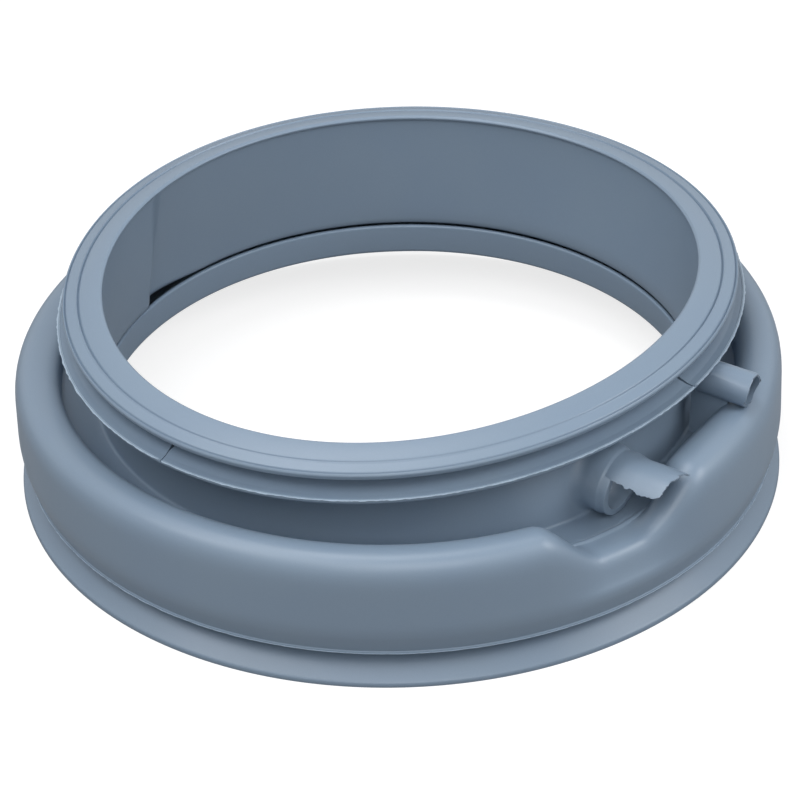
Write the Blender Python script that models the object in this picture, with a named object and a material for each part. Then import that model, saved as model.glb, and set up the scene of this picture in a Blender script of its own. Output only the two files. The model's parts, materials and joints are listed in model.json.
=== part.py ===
"""Door seal of a front-loading washing machine, one moulded rubber bellows.

The seal lies on its tub flange with the door side up.  Its section is a folded
wall: a conical tub flange with an upright ring inside it, an outer wall that
rolls over into a deep trough, an inner wall, and a grooved lip that takes the
edge of the cabinet.  The roll dips in one place, where two water ports leave
the inner wall, and a web stands under the upper port.  Metres, +Z up, origin at
the centre of the tub flange's foot, +X along the ports.
"""

import bmesh
import bpy
from math import atan2, cos, hypot, pi, radians, sin, tan
from mathutils import Matrix

# Walls
WALL = 0.0027
SKIRT_WALL = 0.0030
TUB_RING_WALL = 0.0028

# Tub flange: a conical skirt on a narrow foot, with an upright ring inside
FLANGE_RADIUS = 0.1950
FLANGE_EDGE = 0.0026
FOOT_WIDTH = 0.0014
SKIRT_SLOPE = radians(35.2)
TUB_RING_RADIUS = 0.1505
TUB_RING_TOP = 0.0463
TUB_RING_GAP = 0.0007
CLAMP_GROOVE_RADIUS = 0.1785
CLAMP_GROOVE_HEIGHT = 0.0034
CLAMP_NECK = 0.0040

# Outer wall and the roll over its top
OUTER_FOOT_RADIUS = 0.1914
OUTER_FOOT_EDGE = 0.0009
ROLL_RADIUS = 0.1953
ROLL_TOP = 0.0735
ROLL_SHOULDER = 0.0395
TROUGH_OUTER_RADIUS = 0.1720
TROUGH_RISE = 0.0045

# Inner wall
INNER_RADIUS = 0.1507
FOLD_REACH = 0.0048

# Cabinet lip: a lower flange, a groove for the cabinet's edge and a wide lip
CABINET_FLANGE_RADIUS = 0.1722
CABINET_FLANGE_TOP = 0.0960
CABINET_FLANGE_EDGE = 0.0020
CABINET_FLANGE_RISE = 0.0024
CABINET_FLANGE_WALL = 0.0040
CABINET_FLANGE_BEAD = 0.0023
CABINET_FLANGE_ROOT = 0.0056
CABINET_GROOVE_RADIUS = 0.1585
CABINET_GROOVE_WIDTH = 0.0062
LIP_RADIUS = 0.1695
LIP_EDGE = 0.0030
LIP_UNDERSIDE_RISE = 0.0014
LIP_INNER_RADIUS = 0.1488
LIP_TOP = 0.1146
LIP_NOSE = 0.0028
LINE_RADIUS = 0.1612
STEP_RADIUS = 0.1671
LINE_DEPTH = 0.0007

# How the lying rubber has bent: the lip stands aside, leans, and is a little oval and
# warped; the roll sags on one side and the skirt's edge lifts on another
LIP_SHIFT = 0.0037
LIP_SHIFT_AT = radians(65)
LIP_LEAN = 0.0018
LIP_LEAN_AT = radians(170)
LIP_OVAL = 0.0054
LIP_OVAL_AT = radians(78)
LIP_WARP = 0.0029
LIP_WARP_AT = radians(1)
BEND_START = 0.050
BEND_FULL = 0.094
ROLL_SAG = 0.0065
ROLL_SAG_AT = radians(200)
ROLL_SAG_HALF_WIDTH = radians(85)
SKIRT_LIFT = 0.0030
SKIRT_LIFT_AT = radians(128)
SKIRT_LIFT_HALF_WIDTH = radians(70)

# Recess, where the roll drops to the floor of the trough
RECESS_FROM = radians(-32.0)
RECESS_DOWN = radians(-21.0)
RECESS_UP = radians(-8.5)
RECESS_TO = radians(-3.0)
RIDGE_RISE = 0.0028
RIDGE_RADIUS = 0.1712
RIDGE_FALL_WIDTH = 0.0034
RECESS_SHOULDER_RADIUS = 0.1885
SADDLE_AT = radians(17)
SADDLE_HALF_WIDTH = radians(9)
SADDLE_DEPTH = 0.0016
SWELL_AT = radians(5)
SWELL_HALF_WIDTH = radians(16)
SWELL_IN = 0.0040
SWELL_UP = 0.0010

# Dent in the inner wall, with a crease at its end
DENT_FROM = radians(170)
CREASE = radians(187)
CREASE_WIDTH = radians(2.5)
OVERLAP_TO = radians(212)
DENT_DEPTH = 0.0042
OVERLAP_DEPTH = 0.0016

# Lower water port, the wide one, with the torn upper half of its pipe
LOWER_PORT_END = (0.1628, -0.0344, 0.0664)
LOWER_PORT_TURN = radians(0)
LOWER_PORT_FALL = radians(6)
LOWER_PORT_RADIUS = 0.0156
LOWER_PORT_WALL = 0.0037
COLLAR_STEP = 0.0008
COLLAR_SETBACK = 0.0050
FLAP_LENGTH = 0.0280
FLAP_WALL = 0.0018
FLAP_FROM = radians(28)
FLAP_TO = radians(142)
FLAP_RISE = 0.0028
FLAP_SPREAD = 0.12
FLAP_TEAR = 0.0016

# Upper water port, a plain stub over the roll
UPPER_PORT_END = (0.1810, 0.0518, 0.0812)
UPPER_PORT_TURN = radians(11)
UPPER_PORT_FALL = radians(3)
UPPER_PORT_RADIUS = 0.0086
UPPER_PORT_WALL = 0.0017
PORT_ROOT = 0.0030
WEB_WALL = 0.0022
BORE_OVERRUN = 0.0160

# Slits across the cabinet flange
SLIT_WIDTH = 0.0010
SLIT_ANGLES = (radians(11), radians(-94))

# Steps round the ring, finer where its section changes: (from, to, step) in degrees
AZIMUTH_ZONES = ((-36, -9, 2.25), (-9, -2, 1.4), (-2, 27, 3.0), (27, 162, 7.5),
                 (162, 183, 3.0), (183, 191, 1.6), (191, 215, 4.8), (215, 324, 7.27))
PORT_SIDES = 24

RUBBER_COLOUR = (0.235, 0.305, 0.375, 1.0)
RUBBER_ROUGHNESS = 0.48


def smooth(low, high, value):
    """Rise from 0 at low to 1 at high."""
    share = min(1.0, max(0.0, (value - low) / (high - low)))
    return share * share * (3 - 2 * share)


def turn_from(angle, start):
    """Angle wrapped to run up from start."""
    return (angle - start) % (2 * pi) + start


def recess_share(angle):
    """How far the roll is pressed down at this angle, 0 to 1."""
    angle = turn_from(angle, -pi)
    return smooth(RECESS_FROM, RECESS_DOWN, angle) - smooth(RECESS_UP, RECESS_TO, angle)


def bump(angle, middle, half_width):
    """Rise from 0 to 1 and back round the given middle angle."""
    return 1 - smooth(0, half_width, abs(turn_from(angle - middle, -pi)))


def fold_height():
    """Underside of the fold between the inner wall and the trough."""
    return TUB_RING_TOP + TUB_RING_GAP


def skirt_underside(radius):
    return (FLANGE_RADIUS - FOOT_WIDTH - radius) * tan(SKIRT_SLOPE)


def skirt_top(radius):
    return skirt_underside(radius) + SKIRT_WALL / cos(SKIRT_SLOPE)


def outer_foot_height():
    """Underside of the outer wall, across the clamp groove from the skirt."""
    return skirt_top(CLAMP_GROOVE_RADIUS) + CLAMP_GROOVE_HEIGHT - WALL / 4


def groove_floor_low():
    return CABINET_FLANGE_TOP + CABINET_FLANGE_RISE


def groove_floor_high():
    return groove_floor_low() + CABINET_GROOVE_WIDTH


def lip_edge_low():
    return groove_floor_high() + LIP_UNDERSIDE_RISE


def mix(first, second, share):
    return tuple(a + (b - a) * share for a, b in zip(first, second))


def bellows_centre(angle):
    """Corners of the folded wall's centre line, from the lip down to the outer foot."""
    inner = INNER_RADIUS + WALL / 2
    floor = fold_height() + WALL / 2
    swell = bump(angle, SWELL_AT, SWELL_HALF_WIDTH)
    trough = TROUGH_OUTER_RADIUS + WALL / 2 - SWELL_IN * swell
    crest = ROLL_TOP - WALL / 2 - SADDLE_DEPTH * bump(angle, SADDLE_AT, SADDLE_HALF_WIDTH)
    crest += SWELL_UP * swell - ROLL_SAG * bump(angle, ROLL_SAG_AT, ROLL_SAG_HALF_WIDTH)
    outer = ROLL_RADIUS - WALL / 2
    foot = (OUTER_FOOT_RADIUS - WALL / 2, outer_foot_height() + WALL)
    high = [(inner, floor + FOLD_REACH), (inner, floor), (inner + FOLD_REACH, floor),
            (trough, floor + TROUGH_RISE), (trough, crest), (outer, crest),
            (outer, ROLL_SHOULDER), (outer, ROLL_SHOULDER - 2 * WALL)]
    low = high[:3] + [(RIDGE_RADIUS - WALL / 3, floor), (RIDGE_RADIUS, floor + RIDGE_RISE),
                      (RIDGE_RADIUS + RIDGE_FALL_WIDTH, floor + RIDGE_RISE / 3),
                      (RECESS_SHOULDER_RADIUS, floor), (outer, ROLL_SHOULDER - 2 * WALL)]
    share = recess_share(angle)
    return [mix(a, b, share) for a, b in zip(high, low)] + [foot]


def rounded(corners, start, samples):
    """Points and normals along a line that rounds each corner between edge middles."""
    path = [start] + corners
    line = []
    for before, corner, after, count in zip(path, path[1:], path[2:], samples):
        left = mix(before, corner, 0.5)
        right = mix(corner, after, 0.5)
        for step in range(count):
            t = step / count
            point = mix(mix(left, corner, t), mix(corner, right, t), t)
            run = mix((corner[0] - left[0], corner[1] - left[1]),
                      (right[0] - corner[0], right[1] - corner[1]), t)
            line.append((point, run))
    end = corners[-1]
    line.append((end, (end[0] - path[-2][0], end[1] - path[-2][1])))
    return line


def offset(line, distance):
    """Shift a line sideways; positive is to the left of its run."""
    shifted = []
    for (r, z), (dr, dz) in line:
        length = hypot(dr, dz)
        shifted.append((r - dz / length * distance, z + dr / length * distance))
    return shifted


def tub_side_outline():
    """Foot, skirt, clamp groove and the outer wall's foot, from the inside outward."""
    foot_z = outer_foot_height()
    groove_low = skirt_top(CLAMP_GROOVE_RADIUS)
    edge_low = foot_z + WALL / 4
    return [(FLANGE_RADIUS - FOOT_WIDTH, 0.0),
            (FLANGE_RADIUS, 0.0),
            (FLANGE_RADIUS, FLANGE_EDGE - SKIRT_WALL / 6),
            (FLANGE_RADIUS - SKIRT_WALL / 6, skirt_top(FLANGE_RADIUS - SKIRT_WALL / 6)),
            (CLAMP_GROOVE_RADIUS + CLAMP_GROOVE_HEIGHT / 2,
             skirt_top(CLAMP_GROOVE_RADIUS + CLAMP_GROOVE_HEIGHT / 2)),
            (CLAMP_GROOVE_RADIUS, groove_low + CLAMP_GROOVE_HEIGHT / 3),
            (CLAMP_GROOVE_RADIUS + CLAMP_GROOVE_HEIGHT / 3, foot_z),
            (OUTER_FOOT_RADIUS - WALL / 3, foot_z),
            (OUTER_FOOT_RADIUS, edge_low),
            (OUTER_FOOT_RADIUS, edge_low + OUTER_FOOT_EDGE),
            (OUTER_FOOT_RADIUS - OUTER_FOOT_EDGE / 2, edge_low + 2 * OUTER_FOOT_EDGE)]


def lip_outline():
    """Cabinet flange, groove and lip, from the inner wall's outer face over to its inner face."""
    wall_out = INNER_RADIUS + WALL
    flange_low = CABINET_FLANGE_TOP - CABINET_FLANGE_EDGE
    flange_root = groove_floor_low() - CABINET_FLANGE_ROOT
    bead = CABINET_FLANGE_RADIUS - CABINET_FLANGE_BEAD
    edge_top = lip_edge_low() + LIP_EDGE
    slope = (LIP_TOP - edge_top) / (LIP_RADIUS - LIP_INNER_RADIUS)

    def lip_top(radius):
        return edge_top + (LIP_RADIUS - radius) * slope

    return [(wall_out, flange_root - CABINET_FLANGE_WALL),
            (wall_out + WALL, flange_root - CABINET_FLANGE_WALL / 5),
            (CABINET_FLANGE_RADIUS - CABINET_FLANGE_EDGE / 2, flange_low - CABINET_FLANGE_EDGE / 4),
            (CABINET_FLANGE_RADIUS, flange_low + CABINET_FLANGE_EDGE / 3),
            (CABINET_FLANGE_RADIUS - CABINET_FLANGE_EDGE / 2, CABINET_FLANGE_TOP),
            (bead, CABINET_FLANGE_TOP + LINE_DEPTH / 2),
            (bead - LINE_DEPTH, CABINET_FLANGE_TOP - LINE_DEPTH / 4),
            (CABINET_GROOVE_RADIUS + CABINET_GROOVE_WIDTH / 2, groove_floor_low()),
            (CABINET_GROOVE_RADIUS, groove_floor_low() + CABINET_GROOVE_WIDTH / 3),
            (CABINET_GROOVE_RADIUS, groove_floor_high() - CABINET_GROOVE_WIDTH / 4),
            (CABINET_GROOVE_RADIUS + CABINET_GROOVE_WIDTH / 2, groove_floor_high()),
            (LIP_RADIUS - LIP_EDGE / 3, lip_edge_low()),
            (LIP_RADIUS, lip_edge_low() + LIP_EDGE / 3),
            (LIP_RADIUS - LIP_EDGE / 3, lip_top(LIP_RADIUS - LIP_EDGE / 3)),
            (STEP_RADIUS + LINE_DEPTH, lip_top(STEP_RADIUS + LINE_DEPTH)),
            (STEP_RADIUS, lip_top(STEP_RADIUS) - LINE_DEPTH),
            (STEP_RADIUS - LINE_DEPTH, lip_top(STEP_RADIUS - LINE_DEPTH) + LINE_DEPTH / 2),
            (LINE_RADIUS + LINE_DEPTH, lip_top(LINE_RADIUS + LINE_DEPTH)),
            (LINE_RADIUS, lip_top(LINE_RADIUS) - LINE_DEPTH),
            (LINE_RADIUS - 2 * LINE_DEPTH, lip_top(LINE_RADIUS - 2 * LINE_DEPTH) + LINE_DEPTH),
            (LIP_INNER_RADIUS + LIP_NOSE / 2, LIP_TOP),
            (LIP_INNER_RADIUS, LIP_TOP - LIP_NOSE / 3),
            (LIP_INNER_RADIUS + LIP_NOSE / 8, LIP_TOP - 3 * LIP_NOSE / 4),
            (INNER_RADIUS, LIP_TOP - LIP_NOSE)]


def ring_outline():
    """Cavity floor, skirt and upright ring, from the outer wall inward to the foot."""
    floor_z = outer_foot_height() + WALL
    outer_face = TUB_RING_RADIUS + TUB_RING_WALL
    neck = CLAMP_GROOVE_RADIUS - CLAMP_NECK
    soft = TUB_RING_WALL / 4
    return [(OUTER_FOOT_RADIUS - 4 * WALL / 3, floor_z),
            (neck + WALL, floor_z),
            (neck, skirt_top(neck)),
            (outer_face + WALL / 2, skirt_top(outer_face + WALL / 2)),
            (outer_face, skirt_top(outer_face) + WALL / 2),
            (outer_face, TUB_RING_TOP - soft),
            (outer_face - soft, TUB_RING_TOP),
            (TUB_RING_RADIUS + soft, TUB_RING_TOP),
            (TUB_RING_RADIUS, TUB_RING_TOP - soft),
            (TUB_RING_RADIUS, skirt_underside(TUB_RING_RADIUS) + soft),
            (TUB_RING_RADIUS + soft, skirt_underside(TUB_RING_RADIUS + soft))]


def section(angle):
    """Closed outline of the wall at one angle, as (radius, height) pairs."""
    corners = bellows_centre(angle)
    top = (INNER_RADIUS + WALL / 2, groove_floor_low() - 3 * CABINET_FLANGE_WALL)
    shown = offset(rounded(corners, top, (1, 3, 1, 2, 3, 3, 3, 1)), WALL / 2)
    hidden = offset(rounded(corners, top, (1, 2, 1, 2, 2, 2, 2, 1)), -WALL / 2)
    return tub_side_outline() + shown[-2::-1] + lip_outline() + hidden[:-1] + ring_outline()


def azimuths():
    """Angles round the ring, from the fine and coarse zones."""
    angles = []
    for start, end, step in AZIMUTH_ZONES:
        count = max(1, round((end - start) / step))
        angles += [radians(start + (end - start) * i / count) for i in range(count)]
    return angles


def swept_ring():
    """Join the outlines round the axis into one closed mesh."""
    mesh = bmesh.new()
    loops = []
    for angle in azimuths():
        loops.append([mesh.verts.new((r * cos(angle), r * sin(angle), z)) for r, z in section(angle)])
    for here, there in zip(loops, loops[1:] + loops[:1]):
        for i in range(len(here)):
            j = (i + 1) % len(here)
            mesh.faces.new((here[i], there[i], there[j], here[j]))
    bmesh.ops.recalc_face_normals(mesh, faces=mesh.faces)
    return mesh


def dent_depth(angle):
    """Outward push of the inner wall; negative where it overlaps the ring below."""
    angle = turn_from(angle, 0)
    dent = DENT_DEPTH * smooth(DENT_FROM, CREASE - CREASE_WIDTH, angle)
    past = smooth(CREASE - CREASE_WIDTH, CREASE + CREASE_WIDTH / 2, angle)
    overlap = OVERLAP_DEPTH * (1 - smooth(CREASE, OVERLAP_TO, angle))
    return dent * (1 - past) - overlap * past


def relax(point):
    """Move a point of the true ring to where the lying, slightly bent rubber has it."""
    radius = hypot(point.x, point.y)
    angle = atan2(point.y, point.x)
    near_wall = 1 - smooth(INNER_RADIUS + 2 * WALL, TROUGH_OUTER_RADIUS, radius)
    over_roll = smooth(ROLL_TOP + 4 * WALL, BEND_FULL, point.z)
    bend = smooth(BEND_START, BEND_FULL, point.z) * max(near_wall, over_roll)
    wall_dent = near_wall * smooth(TUB_RING_TOP, fold_height(), point.z)
    wall_dent *= 1 - smooth(ROLL_TOP, groove_floor_low(), point.z)
    skirt_edge = smooth(CLAMP_GROOVE_RADIUS, FLANGE_RADIUS, radius)
    skirt_edge *= 1 - smooth(skirt_top(CLAMP_GROOVE_RADIUS), outer_foot_height(), point.z)
    radius += dent_depth(angle) * wall_dent
    radius += LIP_OVAL * cos(2 * (angle - LIP_OVAL_AT)) * bend
    point.x = radius * cos(angle) + LIP_SHIFT * cos(LIP_SHIFT_AT) * bend
    point.y = radius * sin(angle) + LIP_SHIFT * sin(LIP_SHIFT_AT) * bend
    point.z += LIP_LEAN * cos(angle - LIP_LEAN_AT) * bend
    point.z += LIP_WARP * cos(2 * (angle - LIP_WARP_AT)) * bend
    point.z += SKIRT_LIFT * bump(angle, SKIRT_LIFT_AT, SKIRT_LIFT_HALF_WIDTH) * skirt_edge


def port_frame(end, turn, fall):
    """Place a port: its own +X runs out along the pipe, and its end is at the origin."""
    return Matrix.Translation(end) @ Matrix.Rotation(turn, 4, "Z") @ Matrix.Rotation(fall, 4, "Y")


def turned(profile, sides):
    """Solid turned about its own X axis from (x, radius) pairs."""
    mesh = bmesh.new()
    rings = []
    for x, radius in profile:
        rings.append([mesh.verts.new((x, radius * cos(2 * pi * (i + 0.5) / sides),
                                      radius * sin(2 * pi * (i + 0.5) / sides)))
                      for i in range(sides)])
    for here, there in zip(rings, rings[1:]):
        for i in range(sides):
            j = (i + 1) % sides
            mesh.faces.new((here[i], here[j], there[j], there[i]))
    mesh.faces.new(rings[0])
    mesh.faces.new(rings[-1])
    bmesh.ops.recalc_face_normals(mesh, faces=mesh.faces)
    return mesh


def flap_mesh():
    """Upper half of the torn pipe, a little opened out, with an uneven end."""
    steps_round = 8
    steps_along = 4
    start = -COLLAR_SETBACK / 2
    mesh = bmesh.new()
    skins = []
    for inset in (0.0, FLAP_WALL):
        rows = []
        for k in range(steps_along + 1):
            row = []
            for i in range(steps_round + 1):
                share = i / steps_round
                angle = FLAP_FROM + (FLAP_TO - FLAP_FROM) * share
                uneven = FLAP_TEAR * (sin(7 * angle) + sin(17 * angle) / 2)
                reach = FLAP_LENGTH + uneven - start
                x = start + reach * k / steps_along
                lift = FLAP_RISE * smooth(0, FLAP_LENGTH, x)
                radius = LOWER_PORT_RADIUS - inset
                side = -radius * cos(angle) * (1 + FLAP_SPREAD * smooth(0, FLAP_LENGTH, x))
                row.append(mesh.verts.new((x, side, radius * sin(angle) + lift)))
            rows.append(row)
        skins.append(rows)
    outer, inner = skins
    for rows in skins:
        for low, high in zip(rows, rows[1:]):
            for i in range(steps_round):
                mesh.faces.new((low[i], low[i + 1], high[i + 1], high[i]))
    for k in range(steps_along):
        mesh.faces.new((outer[k][0], outer[k + 1][0], inner[k + 1][0], inner[k][0]))
        mesh.faces.new((outer[k][-1], outer[k + 1][-1], inner[k + 1][-1], inner[k][-1]))
    for i in range(steps_round):
        mesh.faces.new((outer[0][i], outer[0][i + 1], inner[0][i + 1], inner[0][i]))
        mesh.faces.new((outer[-1][i], outer[-1][i + 1], inner[-1][i + 1], inner[-1][i]))
    bmesh.ops.recalc_face_normals(mesh, faces=mesh.faces)
    return mesh


def as_object(name, mesh, frame=Matrix.Identity(4)):
    """Put a mesh in the scene as an object."""
    mesh.transform(frame)
    data = bpy.data.meshes.new(name)
    mesh.to_mesh(data)
    mesh.free()
    item = bpy.data.objects.new(name, data)
    bpy.context.scene.collection.objects.link(item)
    return item


def cut_or_join(body, tool, operation):
    """Apply an exact Boolean with a tool object, then remove the tool."""
    change = body.modifiers.new(operation, "BOOLEAN")
    change.operation = operation
    change.object = tool
    change.solver = "EXACT"
    graph = bpy.context.evaluated_depsgraph_get()
    result = bpy.data.meshes.new_from_object(body.evaluated_get(graph))
    body.modifiers.clear()
    body.data = result
    bpy.data.objects.remove(tool)


def crossing(radius, end, turn):
    """Place along a port's own X axis where it crosses the circle of this radius."""
    along = end[0] * cos(turn) + end[1] * sin(turn)
    across = end[1] * cos(turn) - end[0] * sin(turn)
    return (radius ** 2 - across ** 2) ** 0.5 - along


def port_reach(end, turn):
    """Distance from a port's end back to the middle of the inner wall, along its turn."""
    return -crossing(INNER_RADIUS + WALL / 2, end, turn)


def inside_cutter(name):
    """Everything inside the middle of the inner wall."""
    mesh = bmesh.new()
    bmesh.ops.create_cone(mesh, cap_ends=True, segments=180, depth=2 * LIP_TOP,
                          radius1=INNER_RADIUS + WALL / 2, radius2=INNER_RADIUS + WALL / 2)
    return as_object(name, mesh)


def add_port(body, name, end, turn, fall, profile, bore, extra=None):
    """Join a turned port to the inner wall and open its bore through the wall."""
    frame = port_frame(end, turn, fall)
    port = as_object(name, turned(profile, PORT_SIDES), frame)
    cut_or_join(port, inside_cutter(name + "_trim"), "DIFFERENCE")
    cut_or_join(body, port, "UNION")
    if extra is not None:
        cut_or_join(body, as_object(name + "_flap", extra, frame), "UNION")
    deep = -port_reach(end, turn) - bore - BORE_OVERRUN
    bore_mesh = turned([(deep, bore), (WALL, bore)], PORT_SIDES)
    cut_or_join(body, as_object(name + "_bore", bore_mesh, frame), "DIFFERENCE")


def web_mesh():
    """Upright web under the upper port, set into the inner wall, the trough and the roll."""
    corners = bellows_centre(atan2(UPPER_PORT_END[1], UPPER_PORT_END[0]))
    line = [point for point, _ in rounded(corners, corners[0], (1, 1, 1, 3, 1, 1, 1, 1))][1:8]
    outline = [(crossing(r, UPPER_PORT_END, UPPER_PORT_TURN), z - UPPER_PORT_END[2])
               for r, z in line]
    outline += [(outline[-1][0], 0.0), (outline[0][0], 0.0)]
    mesh = bmesh.new()
    sides = [[mesh.verts.new((x, y, z)) for x, z in outline] for y in (-WEB_WALL / 2, WEB_WALL / 2)]
    for i in range(len(outline)):
        j = (i + 1) % len(outline)
        mesh.faces.new((sides[0][i], sides[0][j], sides[1][j], sides[1][i]))
    mesh.faces.new(sides[0])
    mesh.faces.new(sides[1])
    bmesh.ops.recalc_face_normals(mesh, faces=mesh.faces)
    return mesh


def add_ports(body):
    reach = port_reach(LOWER_PORT_END, LOWER_PORT_TURN) + LOWER_PORT_RADIUS
    collar = LOWER_PORT_RADIUS + COLLAR_STEP
    wall_at = -port_reach(LOWER_PORT_END, LOWER_PORT_TURN)
    profile = [(-reach, collar + PORT_ROOT), (wall_at, collar + PORT_ROOT),
               (wall_at + PORT_ROOT, collar + PORT_ROOT / 3),
               (wall_at + 2 * PORT_ROOT, collar + PORT_ROOT / 12),
               (-COLLAR_SETBACK, collar),
               (-COLLAR_SETBACK + COLLAR_STEP, LOWER_PORT_RADIUS), (0.0, LOWER_PORT_RADIUS)]
    add_port(body, "lower_port", LOWER_PORT_END, LOWER_PORT_TURN, LOWER_PORT_FALL, profile,
             LOWER_PORT_RADIUS - LOWER_PORT_WALL, flap_mesh())
    reach = port_reach(UPPER_PORT_END, UPPER_PORT_TURN) + UPPER_PORT_RADIUS
    profile = [(-reach, UPPER_PORT_RADIUS), (0.0, UPPER_PORT_RADIUS)]
    web_frame = port_frame(UPPER_PORT_END, UPPER_PORT_TURN, 0.0)
    cut_or_join(body, as_object("web", web_mesh(), web_frame), "UNION")
    add_port(body, "upper_port", UPPER_PORT_END, UPPER_PORT_TURN, UPPER_PORT_FALL, profile,
             UPPER_PORT_RADIUS - UPPER_PORT_WALL)


def add_slits(body):
    """Narrow slits through the cabinet flange, out from the groove."""
    length = CABINET_FLANGE_RADIUS - CABINET_GROOVE_RADIUS
    middle = CABINET_FLANGE_RADIUS - length / 2 + SLIT_WIDTH
    low = CABINET_FLANGE_TOP - 2 * CABINET_FLANGE_EDGE
    high = groove_floor_low() + CABINET_GROOVE_WIDTH / 2
    for number, angle in enumerate(SLIT_ANGLES):
        mesh = bmesh.new()
        bmesh.ops.create_cube(mesh, size=1.0)
        mesh.transform(Matrix.Diagonal((length, SLIT_WIDTH, high - low, 1)))
        frame = Matrix.Rotation(angle, 4, "Z") @ Matrix.Translation((middle, 0, (low + high) / 2))
        cut_or_join(body, as_object("slit_%d" % number, mesh, frame), "DIFFERENCE")


def rubber():
    material = bpy.data.materials.new("blue grey rubber")
    material.use_nodes = True
    shader = material.node_tree.nodes["Principled BSDF"]
    shader.inputs["Base Color"].default_value = RUBBER_COLOUR
    shader.inputs["Roughness"].default_value = RUBBER_ROUGHNESS
    shader.inputs["Metallic"].default_value = 0.0
    return material


def main():
    for item in list(bpy.data.objects):
        bpy.data.objects.remove(item)
    seal = as_object("door_seal", swept_ring())
    add_ports(seal)
    add_slits(seal)
    for vertex in seal.data.vertices:
        relax(vertex.co)
    seal.data.materials.clear()
    seal.data.materials.append(rubber())
    seal.data.shade_smooth()
    seal.data.set_sharp_from_angle(angle=radians(35))


main()
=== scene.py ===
import bmesh
import bpy
import json
from math import cos, hypot, pi, radians, sin, sqrt, tan
from mathutils import Matrix, Vector, noise

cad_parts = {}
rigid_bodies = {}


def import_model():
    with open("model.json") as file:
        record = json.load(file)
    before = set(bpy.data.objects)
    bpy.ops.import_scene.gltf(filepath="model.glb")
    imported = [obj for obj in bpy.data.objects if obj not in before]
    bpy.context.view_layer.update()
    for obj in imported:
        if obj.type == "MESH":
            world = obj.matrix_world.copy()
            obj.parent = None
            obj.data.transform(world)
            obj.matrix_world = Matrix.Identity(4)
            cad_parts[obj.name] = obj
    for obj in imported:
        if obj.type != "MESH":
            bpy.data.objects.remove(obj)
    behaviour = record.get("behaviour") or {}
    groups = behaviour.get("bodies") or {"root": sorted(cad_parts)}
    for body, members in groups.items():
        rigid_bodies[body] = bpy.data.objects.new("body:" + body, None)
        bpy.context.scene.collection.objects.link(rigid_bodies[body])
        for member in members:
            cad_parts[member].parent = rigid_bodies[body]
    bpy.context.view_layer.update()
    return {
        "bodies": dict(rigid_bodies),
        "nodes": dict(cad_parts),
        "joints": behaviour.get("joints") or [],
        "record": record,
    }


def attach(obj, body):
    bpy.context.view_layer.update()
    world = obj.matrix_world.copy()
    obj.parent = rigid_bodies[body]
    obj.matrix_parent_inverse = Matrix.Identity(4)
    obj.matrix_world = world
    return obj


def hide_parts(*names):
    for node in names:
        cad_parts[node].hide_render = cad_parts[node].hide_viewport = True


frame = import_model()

MATH = "ShaderNodeMath"
VECTOR_MATH = "ShaderNodeVectorMath"
MAP_RANGE = "ShaderNodeMapRange"
SAMPLE_INDEX = "GeometryNodeSampleIndex"

# Sizes of the seal in metres, as in the part's source; some folds and edges are finer here
WALL = 0.0027
SKIRT_WALL = 0.0030
TUB_RING_WALL = 0.0028
FLANGE_RADIUS = 0.1950
FLANGE_EDGE = 0.0026
FOOT_WIDTH = 0.0014
SKIRT_SLOPE = radians(35.2)
TUB_RING_RADIUS = 0.1505
TUB_RING_TOP = 0.0463
TUB_RING_GAP = 0.0004
CLAMP_GROOVE_RADIUS = 0.1785
CLAMP_GROOVE_HEIGHT = 0.0034
CLAMP_NECK = 0.0040
OUTER_FOOT_RADIUS = 0.1914
OUTER_FOOT_EDGE = 0.0009
ROLL_RADIUS = 0.1953
ROLL_TOP = 0.0735
ROLL_SHOULDER = 0.0395
TROUGH_OUTER_RADIUS = 0.1720
TROUGH_RISE = 0.0045
INNER_RADIUS = 0.1507
FOLD_REACH = 0.0068
CABINET_FLANGE_RADIUS = 0.1722
CABINET_FLANGE_TOP = 0.0960
CABINET_FLANGE_EDGE = 0.0020
CABINET_FLANGE_RISE = 0.0024
CABINET_FLANGE_WALL = 0.0040
CABINET_FLANGE_BEAD = 0.0042
CABINET_FLANGE_ROOT = 0.0056
CABINET_GROOVE_RADIUS = 0.1585
CABINET_GROOVE_WIDTH = 0.0062
LIP_RADIUS = 0.1695
LIP_EDGE = 0.0042
LIP_UNDERSIDE_RISE = 0.0002
LIP_INNER_RADIUS = 0.1488
LIP_TOP = 0.1146
LIP_NOSE = 0.0028
LINE_RADIUS = 0.1612
STEP_RADIUS = 0.1681
LINE_DEPTH = 0.0014
FLASH = 0.0004

# How the lying rubber has bent
BEND = {
    "Lip shift": 0.0037, "Lip shift at": radians(65),
    "Lip lean": 0.0018, "Lip lean at": radians(170),
    "Lip oval": 0.0054, "Lip oval at": radians(78),
    "Lip warp": 0.0029, "Lip warp at": radians(1),
    "Bend start": 0.050, "Bend full": 0.094,
    "Skirt lift": 0.0030, "Skirt lift at": radians(128), "Skirt lift half width": radians(70),
    "Dent from": radians(170), "Crease": radians(187), "Crease width": radians(2.5),
    "Overlap to": radians(212), "Dent depth": 0.0042, "Overlap depth": 0.0016,
}

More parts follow.
